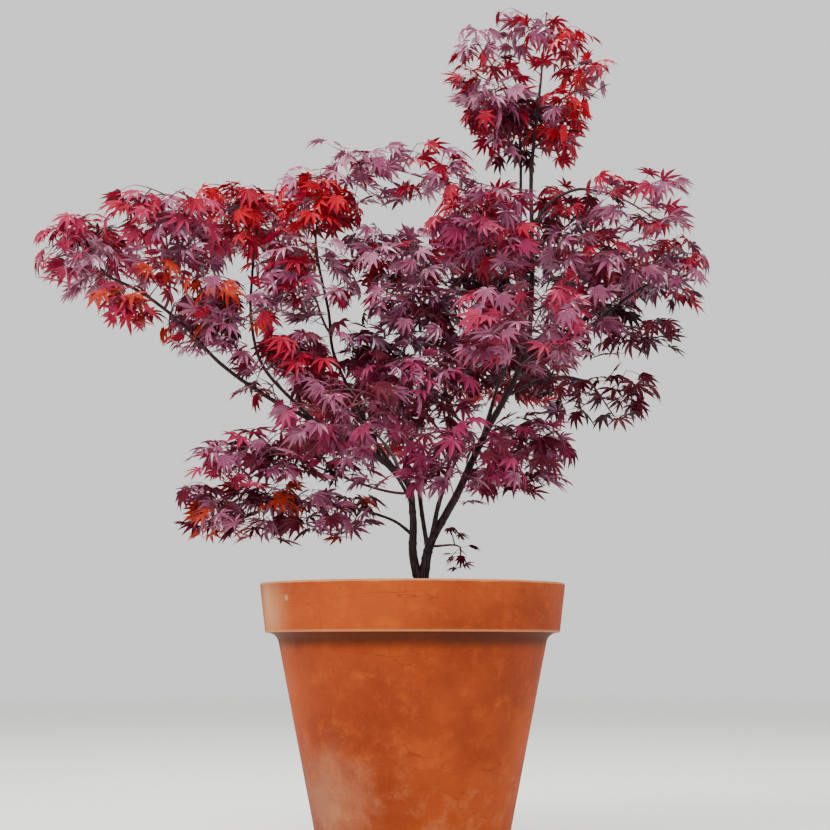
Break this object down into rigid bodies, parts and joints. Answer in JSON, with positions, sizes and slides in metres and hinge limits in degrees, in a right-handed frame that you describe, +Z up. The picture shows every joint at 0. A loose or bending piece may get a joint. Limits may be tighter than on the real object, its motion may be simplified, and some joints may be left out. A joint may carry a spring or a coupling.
{
  "type": "potted japanese maple",
  "caption": "Potted japanese maple: slender forking stems with airy tiers of pointed, deeply lobed red leaves, standing in a round terracotta pot with a thick banded rim.",
  "frame": {"origin": "middle of the pot's flat underside", "axes": "+Z up along the pot's axis; +X towards the crown's tall leader and +Y away from the front view"},
  "size_m": [0.9987, 0.665, 1.2692],
  "materials": {
    "terracotta": "matte",
    "potting_soil": "matte",
    "bark": "matte",
    "leaf_crimson": "satin",
    "leaf_mauve": "satin",
    "leaf_burgundy": "satin"
  },
  "bodies": {
    "root": {"pot": "terracotta", "soil": "potting_soil", "trunk": "bark", "stem_right": "bark", "stem_left": "bark", "stem_middle": "bark", "stem_inner": "bark", "leader_upper": "bark", "bough_far_left": "bark", "bough_left_upright": "bark", "bough_centre_left": "bark", "bough_inner_left": "bark", "bough_right_shoulder": "bark", "bough_right": "bark", "bough_right_low": "bark", "bough_lowest_left": "bark", "bough_front_left": "bark", "bough_front_right": "bark", "bough_back_left": "bark", "bough_back_right": "bark", "foliage_crown_tip": "leaf_crimson", "foliage_crown_left": "leaf_mauve", "foliage_crown_right": "leaf_burgundy", "foliage_head_left": "leaf_crimson", "foliage_head_right": "leaf_mauve", "foliage_head_back": "leaf_burgundy", "foliage_high_left": "leaf_crimson", "foliage_shoulder_outer": "leaf_mauve", "foliage_shoulder_inner": "leaf_burgundy", "foliage_right_outer": "leaf_crimson", "foliage_right_middle": "leaf_mauve", "foliage_right_back": "leaf_burgundy", "foliage_right_lower": "leaf_crimson", "foliage_right_low": "leaf_mauve", "foliage_centre_upper": "leaf_burgundy", "foliage_centre_front": "leaf_crimson", "foliage_centre_back": "leaf_mauve", "foliage_centre_right": "leaf_burgundy", "foliage_centre_top": "leaf_crimson", "foliage_centre_heart": "leaf_mauve", "foliage_centre_low": "leaf_burgundy", "foliage_low_right": "leaf_crimson", "foliage_low_front": "leaf_mauve", "foliage_low_left": "leaf_burgundy", "foliage_lowest_left": "leaf_crimson", "foliage_far_left_tip": "leaf_mauve", "foliage_far_left_middle": "leaf_burgundy", "foliage_far_left_droop": "leaf_crimson", "foliage_left_canopy": "leaf_mauve", "foliage_left_canopy_inner": "leaf_burgundy", "foliage_left_middle": "leaf_crimson", "foliage_left_lower": "leaf_mauve", "foliage_left_centre": "leaf_burgundy", "foliage_left_inner": "leaf_crimson", "foliage_front_left": "leaf_mauve", "foliage_front_right": "leaf_burgundy", "foliage_back_left": "leaf_crimson", "foliage_back_right": "leaf_mauve", "foliage_foot_sprig": "leaf_burgundy"}
  },
  "joints": []
}
